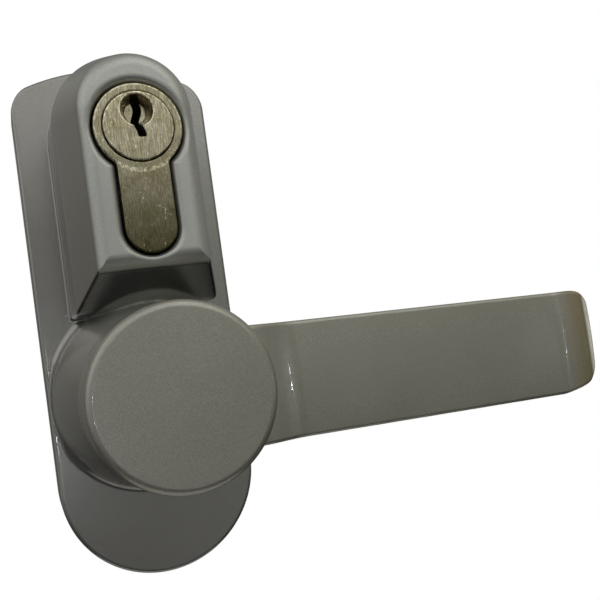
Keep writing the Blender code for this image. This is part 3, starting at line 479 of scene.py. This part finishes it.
def build_post(node):
    """Fixing post: a round stud with a flange in front of the back plate and an M5 thread inside."""
    low, high = door_box(node)
    centre = (low.y + high.y) / 2

    def post(x, y, z):
        r = np.hypot(x, y - centre)
        body = round_max(r - POST_RADIUS, np.maximum(low.z - z, z - high.z), 0.5)
        flange = np.maximum(POST_FLANGE[0] - z, z - POST_FLANGE[1])
        body = np.minimum(body, round_max(r - high.x, flange, 0.2))
        turn = z / THREAD_PITCH - np.arctan2(y - centre, x) / (2 * math.pi)
        groove = THREAD_DEPTH * np.abs(2 * (turn - np.floor(turn)) - 1)
        mouth = (low.z + THREAD_MOUTH_DEPTH - z) * THREAD_MOUTH_SPREAD
        mouth = np.clip(mouth, 0, THREAD_MOUTH)
        slant = math.hypot(1, 2 * THREAD_DEPTH / THREAD_PITCH)
        bore = (r - THREAD_RADIUS - np.maximum(groove, mouth)) / slant
        return without(body, np.maximum(bore, z - POST_BORE_END), 0.05)

    piece = field_piece(node.replace("fixing", "threaded"), post, low, high, 0.16, 30000)
    finish_piece(piece, "housing", "zinc_steel", node)


# ---- Materials ---------------------------------------------------------------------
def set_stops(ramp, stops):
    """Fills a ramp node with a colour or grey for each (share, value) stop."""
    elements = ramp.color_ramp.elements
    while len(elements) < len(stops):
        elements.new(0.5)
    for element, (share, value) in zip(elements, stops):
        element.position = share
        element.color = (*value, 1) if isinstance(value, tuple) else (value,) * 3 + (1,)


class Graph:
    """A few words for building a material's node tree. Positions come in millimetres."""

    def __init__(self, name, **sockets):
        self.material = bpy.data.materials.new(name)
        self.material.use_nodes = True
        self.tree = self.material.node_tree
        self.shader = self.tree.nodes["Principled BSDF"]
        for socket, value in sockets.items():
            self.shader.inputs[socket.replace("_", " ")].default_value = value
        coordinates = self.node("ShaderNodeTexCoord")
        self.position, self.normal = coordinates.outputs["Object"], coordinates.outputs["Normal"]

    def node(self, kind, **settings):
        made = self.tree.nodes.new(kind)
        for name, value in settings.items():
            setattr(made, name, value)
        return made

    def link(self, source, target):
        self.tree.links.new(source, target)

    def run(self, source, start, end, **settings):
        """Grows from 0 to 1 as the source goes from start to end."""
        made = self.node("ShaderNodeMapRange", **settings)
        made.inputs["From Min"].default_value = start
        made.inputs["From Max"].default_value = end
        self.link(source, made.inputs["Value"])
        return made.outputs["Result"]

    def place(self, scale):
        """The position in millimetres, times a scale for each axis."""
        mapping = self.node("ShaderNodeMapping")
        mapping.inputs["Scale"].default_value = [s / MM for s in scale]
        self.link(self.position, mapping.inputs["Vector"])
        return mapping.outputs["Vector"]

    def noise(self, scale, detail=2.0, rough=0.5):
        """Noise with so many features for each millimetre along each axis."""
        scale = scale if isinstance(scale, tuple) else (scale,) * 3
        made = self.node("ShaderNodeTexNoise")
        made.inputs["Scale"].default_value = 1.0
        made.inputs["Detail"].default_value = detail
        made.inputs["Roughness"].default_value = rough
        self.link(self.place(scale), made.inputs["Vector"])
        return made.outputs["Fac"]

    def between(self, axis, start, end):
        """Grows from 0 to 1 along an axis between two places in millimetres."""
        axes = self.node("ShaderNodeSeparateXYZ")
        self.link(self.position, axes.inputs[0])
        return self.run(axes.outputs[axis], start * MM, end * MM, interpolation_type="SMOOTHSTEP")

    def underside(self):
        """1 where the surface faces down."""
        axes = self.node("ShaderNodeSeparateXYZ")
        self.link(self.normal, axes.inputs[0])
        return self.run(axes.outputs["Z"], -0.3, -0.6)

    def ramp(self, source, *stops):
        """The source through a colour ramp."""
        made = self.node("ShaderNodeValToRGB")
        set_stops(made, stops)
        self.link(source, made.inputs["Fac"])
        return made.outputs["Color"]

    def off_axis(self, height):
        """Distance in millimetres from an axis that runs out of the door at this height."""
        mapping = self.node("ShaderNodeMapping")
        mapping.inputs["Location"].default_value = (0, 0, -height)
        mapping.inputs["Scale"].default_value = (1 / MM, 0, 1 / MM)
        self.link(self.position, mapping.inputs["Vector"])
        length = self.node("ShaderNodeVectorMath", operation="LENGTH")
        self.link(mapping.outputs["Vector"], length.inputs[0])
        return length.outputs["Value"]

    def outside(self, height, start, end):
        """Grows from 0 to 1 between two distances from the axis at this height."""
        return self.run(self.off_axis(height), start, end)

    def rim(self, height, radius, width):
        """1 on a ring round the axis at this height, 0 elsewhere."""
        made = self.node("ShaderNodeMath", operation="COMPARE")
        made.inputs[1].default_value = radius
        made.inputs[2].default_value = width
        self.link(self.off_axis(height), made.inputs[0])
        return made.outputs["Value"]

    def mix(self, a, b, amount, kind="MIX"):
        made = self.node("ShaderNodeMix", data_type="RGBA", blend_type=kind)
        if isinstance(amount, float):
            made.inputs["Factor"].default_value = amount
        else:
            self.link(amount, made.inputs["Factor"])
        self.link(a, made.inputs["A"])
        self.link(b, made.inputs["B"])
        return made.outputs["Result"]

    def times(self, first, *others):
        for other in others:
            first = self.mix(first, other, 1.0, "MULTIPLY")
        return first

    def bump(self, *layers):
        """Layers of (height, depth in millimetres), one on top of another."""
        normal = None
        for height, depth in layers:
            made = self.node("ShaderNodeBump")
            made.inputs["Strength"].default_value = 1.0
            made.inputs["Distance"].default_value = depth * MM
            self.link(height, made.inputs["Height"])
            if normal is not None:
                self.link(normal, made.inputs["Normal"])
            normal = made.outputs["Normal"]
        self.link(normal, self.shader.inputs["Normal"])

    def set(self, socket, source):
        self.link(source, self.shader.inputs[socket])


def tint(colour, factor):
    return tuple(min(1.0, c * factor) for c in colour)


def flakes(g, colour):
    """Fine metal flakes, a little darker and lighter than the paint, in faint clouds."""
    stops = (0.30, tint(colour, 0.80)), (0.50, colour), (0.72, tint(colour, 1.28))
    clouds = g.ramp(g.noise(0.06, 2.0), (0.3, 0.92), (0.7, 1.0))
    return g.times(g.ramp(g.noise(5.5, 3.0, 0.7), *stops), clouds)


def cover_lacquer():
    """Glossy dark silver, satin on the housing's face and the collar's top; these two are painted
    lighter as painted light, and the surfaces between them are painted darkest as painted shade.
    """
    g = Graph("cover_paint", Metallic=0.75, Coat_Roughness=0.05, Coat_IOR=1.5)
    # The housing's front face: satin, thinly coated, and painted lighter as painted light.
    front = g.between("Y", -HOUSING_FRONT + 2.0, -HOUSING_FRONT + 1.2)
    inner, outer = COLLAR_BASE_RADIUS - 0.3, COLLAR_BASE_RADIUS + 0.3
    # Painted shade: the housing's downward-facing underside outside the collar, in front of the plate,
    # painted near black and made glossier.
    recess_shade = g.times(
        g.between("Z", 27.0, 24.5),
        g.between("Z", 14.0, 18.0),
        g.outside(0, inner, outer),
        g.underside(),
        g.between("Y", -PLATE_THICKNESS - 1.0, -PLATE_THICKNESS - 3.0),
    )
    # Painted light: the collar's top, which lies in the housing's shade, painted pale and made satin.
    collar_top_light = g.times(g.outside(0, outer, inner), g.between("Z", 9.0, 16.0))
    # Painted shade under the housing, then painted light on the collar's top.
    colour = g.mix(flakes(g, (0.29, 0.285, 0.27)), flakes(g, (0.11, 0.11, 0.105)), recess_shade)
    colour = g.mix(colour, flakes(g, (0.56, 0.56, 0.53)), collar_top_light)
    # Painted light: the housing's front face in a lighter silver.
    g.set("Base Color", g.mix(colour, flakes(g, (0.44, 0.45, 0.425)), front))
    patches = g.noise(2.4, 2.0)
    glossy = g.ramp(patches, (0.3, 0.20), (0.7, 0.27))
    polished = g.ramp(patches, (0.3, 0.10), (0.7, 0.15))
    satin = g.ramp(patches, (0.3, 0.36), (0.7, 0.46))
    satin_part = g.mix(front, collar_top_light, 1.0, "ADD")
    g.set("Roughness", g.mix(g.mix(glossy, polished, recess_shade), satin, satin_part))
    g.set("Coat Weight", g.ramp(front, (0.0, 0.5), (1.0, 0.04)))
    g.bump((g.noise(0.35, 2.0), 0.015), (g.noise(5.0, 3.0, 0.7), 0.005))
    return g.material


def lever_lacquer():
    """The silver lacquer in satin, with a painted ochre reflection near the arm's end and a painted pale
    highlight on its edge.
    """
    g = Graph("lever_paint", Metallic=0.72, Coat_Weight=0.5, Coat_Roughness=0.05, Coat_IOR=1.5)
    # Painted reflection: a warm ochre tint towards the arm's end, where the rising lip mirrors the warm
    # room.
    ochre = g.between("X", ARM_END - 6.5, ARM_END - 2.5)
    body = g.times(flakes(g, (0.33, 0.325, 0.285)), g.ramp(ochre, (0.0, 1.0), (1.0, (0.72, 0.63, 0.42))))
    # Painted highlight: a pale band along the arm's rounded end.
    edge_highlight = g.between("X", ARM_END - 1.7, ARM_END - 1.0)
    g.set("Base Color", g.mix(body, flakes(g, (0.78, 0.76, 0.68)), edge_highlight))
    g.set("Roughness", g.ramp(g.noise(2.4, 2.0), (0.3, 0.32), (0.7, 0.42)))
    g.bump((g.noise(0.35, 2.0), 0.02), (g.noise(5.0, 3.0, 0.7), 0.006))
    return g.material


def brushed_nickel(name, colour, *rims):
    """Nickel with a vertical grain, bright in specks, with painted highlights as glints on its rims, and
    darker towards the leg's foot.
    """
    g = Graph(name, Metallic=1.0, Anisotropic=0.35)
    grain = g.noise((7.0, 7.0, 0.5), 4.0, 0.7)
    strokes = g.ramp(grain, (0.30, tint(colour, 0.50)), (0.5, colour), (0.70, tint(colour, 1.7)))
    # Darker towards the leg's foot.
    darker_at_foot = g.ramp(g.between("Z", 24.0, 50.0), (0.0, (0.30, 0.29, 0.21)), (1.0, 1.0))
    stains = g.ramp(g.noise(0.22, 4.0, 0.6), (0.35, (0.72, 0.70, 0.58)), (0.6, 1.0))
    body = g.times(strokes, darker_at_foot, stains)
    bright = g.ramp(grain, (0.4, tint(colour, 1.5)), (0.6, tint(colour, 2.3)))
    specks = g.ramp(g.noise((1.9, 1.9, 1.1), 3.0, 0.6), (0.66, 0.0), (0.72, 1.0))
    # Painted highlights: bright glints in noisy patches on the rims.
    edges = g.rim(*rims[0])
    for rim in rims[1:]:
        edges = g.mix(edges, g.rim(*rim), 1.0, "ADD")
    edge_highlight = g.times(g.ramp(g.noise(1.3, 4.0, 0.7), (0.42, 0.0), (0.54, 1.0)), edges)
    g.set("Base Color", g.mix(g.mix(body, bright, specks), bright, edge_highlight))
    g.set("Roughness", g.ramp(grain, (0.3, 0.38), (0.7, 0.20)))
    g.bump((grain, 0.03), (g.noise(1.5, 3.0), 0.02))
    return g.material


def turned_metal(name, colour, roughness):
    """Plated or bare turned metal with faint mottling."""
    g = Graph(name, Metallic=1.0)
    spots = g.noise(0.8, 4.0, 0.6)
    g.set("Base Color", g.ramp(spots, (0.3, tint(colour, 0.88)), (0.7, tint(colour, 1.12))))
    g.set("Roughness", g.ramp(g.noise(2.5, 3.0), (0.3, roughness - 0.06), (0.7, roughness + 0.08)))
    g.bump((g.noise(4.0, 2.0), 0.006))
    return g.material


def nylon():
    g = Graph("natural_nylon", Roughness=0.5)
    clouds = g.noise(0.5, 3.0)
    g.set("Base Color", g.ramp(clouds, (0.3, (0.72, 0.69, 0.60)), (0.7, (0.82, 0.80, 0.73))))
    g.bump((g.noise(2.0, 2.0), 0.01))
    return g.material


# Rings on the nickel where bright glints are painted as painted highlights.
HEAD_RIM = (KEY_AXIS, HEAD_RADIUS, 0.4)
PLUG_RIM = (KEY_AXIS, PLUG_RADIUS, 0.3)
ENTRY_RIM = (KEY_AXIS + ENTRY_RISE, 2.9, 0.5)

MATERIALS = {
    "cover_paint": cover_lacquer(),
    "lever_paint": lever_lacquer(),
    "cylinder_nickel": brushed_nickel("cylinder_nickel", (0.345, 0.32, 0.235), HEAD_RIM),
    "plug_nickel": brushed_nickel("plug_nickel", (0.41, 0.38, 0.285), PLUG_RIM, ENTRY_RIM),
    "pin_brass": turned_metal("pin_brass", (0.72, 0.55, 0.25), 0.28),
    "zinc_steel": turned_metal("zinc_steel", (0.60, 0.61, 0.60), 0.34),
    "spring_steel": turned_metal("spring_steel", (0.28, 0.28, 0.29), 0.30),
    "nylon": nylon(),
}

NODE_SLOTS = {
    "spring_steel": (
        "circlip",
        "cam_clip",
        "spindle_pin",
        "return_spring",
        "detent_spring",
        "detent_ball",
        "pin_spring_",
    ),
    "pin_brass": ("key_pin_", "driver_pin_", "pin_chamber_strip"),
    "nylon": ("spindle_bush",),
}


def finish_piece(piece, body, slot, node):
    piece.data.materials.clear()
    piece.data.materials.append(MATERIALS[slot])
    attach(piece, body)
    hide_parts(node)


def finish_cad_nodes():
    """Each CAD node that stays in view gets its procedural metal."""
    for name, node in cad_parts.items():
        slot = next((s for s, names in NODE_SLOTS.items() if name.startswith(names)), "zinc_steel")
        node.data.materials.clear()
        node.data.materials.append(MATERIALS[slot])


# ---- Camera and light ----------------------------------------------------------------
CAMERA_PLACE = Vector((-27.02, -187.37, 8.53)) * MM
CAMERA_YAW, CAMERA_PITCH, CAMERA_ROLL = (math.radians(a) for a in (20.37, -2.29, 8.09))
CAMERA_LENS = 46.74


def build_camera():
    yaw, pitch, roll = CAMERA_YAW, CAMERA_PITCH, CAMERA_ROLL
    ahead = Vector((math.sin(yaw) * math.cos(pitch), math.cos(yaw) * math.cos(pitch), -math.sin(pitch)))
    right = Vector((math.cos(yaw), -math.sin(yaw), 0))
    up = right.cross(ahead)
    turned_right = math.cos(roll) * right - math.sin(roll) * up
    turned_up = math.sin(roll) * right + math.cos(roll) * up
    data = bpy.data.cameras.new("camera")
    data.lens = CAMERA_LENS
    data.clip_start = 0.005
    camera = bpy.data.objects.new("camera", data)
    turn = Matrix((turned_right, turned_up, -ahead)).transposed().to_4x4()
    camera.matrix_world = Matrix.Translation(CAMERA_PLACE) @ turn
    bpy.context.scene.collection.objects.link(camera)
    bpy.context.scene.camera = camera


WINDOW_PLACE, WINDOW_TARGET = Vector((0.25, -0.75, 0.75)), Vector((0, 0, 0.03))
WINDOW_SIZE, WINDOW_POWER = (1.5, 1.1), 2.5
SMALL_LAMPS = (
    ("right_lamp_low", (0.766, -0.643, -0.075), 0.40),
    ("right_lamp_high", (0.766, -0.643, -0.033), 0.25),
    ("left_lamp_low", (-0.087, -0.996, -0.090), 0.50),
    ("left_lamp_high", (-0.087, -0.996, -0.026), 0.30),
)
SMALL_LAMP_COLOUR, SMALL_LAMP_RADIUS = (0.86, 0.93, 1.0), 0.012


def build_window():
    data = bpy.data.lights.new("window_above", "AREA")
    data.shape = "RECTANGLE"
    data.size, data.size_y = WINDOW_SIZE
    data.energy = WINDOW_POWER
    lamp = bpy.data.objects.new("window_above", data)
    lamp.location = WINDOW_PLACE
    lamp.rotation_mode = "QUATERNION"
    lamp.rotation_quaternion = (WINDOW_TARGET - WINDOW_PLACE).to_track_quat("-Z", "Y")
    lamp.visible_camera = False
    bpy.context.scene.collection.objects.link(lamp)


def build_small_lamps():
    for name, place, power in SMALL_LAMPS:
        data = bpy.data.lights.new(name, "POINT")
        data.energy = power
        data.color = SMALL_LAMP_COLOUR
        data.shadow_soft_size = SMALL_LAMP_RADIUS
        lamp = bpy.data.objects.new(name, data)
        lamp.location = place
        lamp.visible_camera = False
        bpy.context.scene.collection.objects.link(lamp)


# Shares of the way from left (0) to right (1), with the room's brightness there.
ROOM_IN_FRONT = (
    (0.00, (0.85, 0.850, 0.830)),
    (0.25, (0.66, 0.660, 0.645)),
    (0.38, (0.30, 0.287, 0.265)),
    (0.50, (0.33, 0.317, 0.295)),
    (0.545, (0.41, 0.405, 0.380)),
    (0.60, (0.64, 0.645, 0.620)),
    (0.66, (0.66, 0.665, 0.610)),
    (0.76, (0.44, 0.430, 0.360)),
    (0.83, (0.28, 0.265, 0.190)),
    (1.00, (0.36, 0.350, 0.320)),
)
ROOM_BEHIND = (
    (0.0, (0.26, 0.25, 0.22)),
    (0.4, (0.22, 0.22, 0.20)),
    (0.5, (0.14, 0.14, 0.13)),
    (1.0, (0.34, 0.34, 0.33)),
)
# Shares of the way from below (0) to above (1), with a factor on that brightness.
ROOM_HEIGHT = ((0.26, 0.05), (0.40, 0.49), (0.50, 0.66), (0.56, 0.74), (0.65, 1.15), (0.78, 1.4))


def build_world():
    """White to the camera. To the object a room: dark below, bright above, paler on some sides."""
    world = bpy.data.worlds.new("studio")
    bpy.context.scene.world = world
    world.use_nodes = True
    tree = world.node_tree
    tree.nodes.clear()
    new, link = tree.nodes.new, tree.links.new
    axes = new("ShaderNodeSeparateXYZ")
    link(new("ShaderNodeTexCoord").outputs["Generated"], axes.inputs[0])

    def across(axis, stops, low=-1.0, high=1.0):
        share = new("ShaderNodeMapRange")
        share.inputs["From Min"].default_value = low
        share.inputs["From Max"].default_value = high
        link(axes.outputs[axis], share.inputs["Value"])
        ramp = new("ShaderNodeValToRGB")
        set_stops(ramp, stops)
        link(share.outputs["Result"], ramp.inputs["Fac"])
        return ramp.outputs["Color"]

    def mix(kind, a, b, factor=None):
        made = new("ShaderNodeMix")
        made.data_type, made.blend_type = "RGBA", kind
        made.inputs["Factor"].default_value = 1.0
        if factor is not None:
            link(factor, made.inputs["Factor"])
        link(a, made.inputs["A"])
        link(b, made.inputs["B"])
        return made.outputs["Result"]

    behind = across("Y", ((0.0, 0.0), (1.0, 1.0)), -0.1, 0.2)
    sides = mix("MIX", across("X", ROOM_IN_FRONT), across("X", ROOM_BEHIND), behind)
    room = new("ShaderNodeBackground")
    link(mix("MULTIPLY", sides, across("Z", ROOM_HEIGHT)), room.inputs["Color"])
    white = new("ShaderNodeBackground")
    white.inputs["Color"].default_value = (1, 1, 1, 1)
    choose = new("ShaderNodeMixShader")
    link(new("ShaderNodeLightPath").outputs["Is Camera Ray"], choose.inputs["Fac"])
    link(room.outputs[0], choose.inputs[1])
    link(white.outputs[0], choose.inputs[2])
    link(choose.outputs[0], new("ShaderNodeOutputWorld").inputs["Surface"])


FLOOR_RADIUS, FLOOR_HEIGHT = 0.45, -0.62


def build_floor():
    """A plain pale floor, well below the part, which hangs on a door."""
    bm = bmesh.new()
    bmesh.ops.create_circle(bm, cap_ends=True, segments=96, radius=FLOOR_RADIUS)
    bmesh.ops.translate(bm, vec=(0, 0, FLOOR_HEIGHT), verts=bm.verts)
    mesh = bpy.data.meshes.new("floor")
    bm.to_mesh(mesh)
    bm.free()
    floor = bpy.data.objects.new("floor", mesh)
    bpy.context.scene.collection.objects.link(floor)
    g = Graph("pale_floor", Roughness=0.9)
    g.set("Base Color", g.ramp(g.noise(0.02, 3.0), (0.3, 0.82), (0.7, 0.86)))
    floor.data.materials.append(g.material)


# ---- Scene ---------------------------------------------------------------------------
build_camera()
build_window()
build_small_lamps()
build_world()
build_floor()
finish_cad_nodes()
build_cover()
build_lever()
build_cylinder()
build_spindle()
build_post("upper_fixing_post")
build_post("lower_fixing_post")

bpy.context.scene.view_settings.view_transform = "Standard"
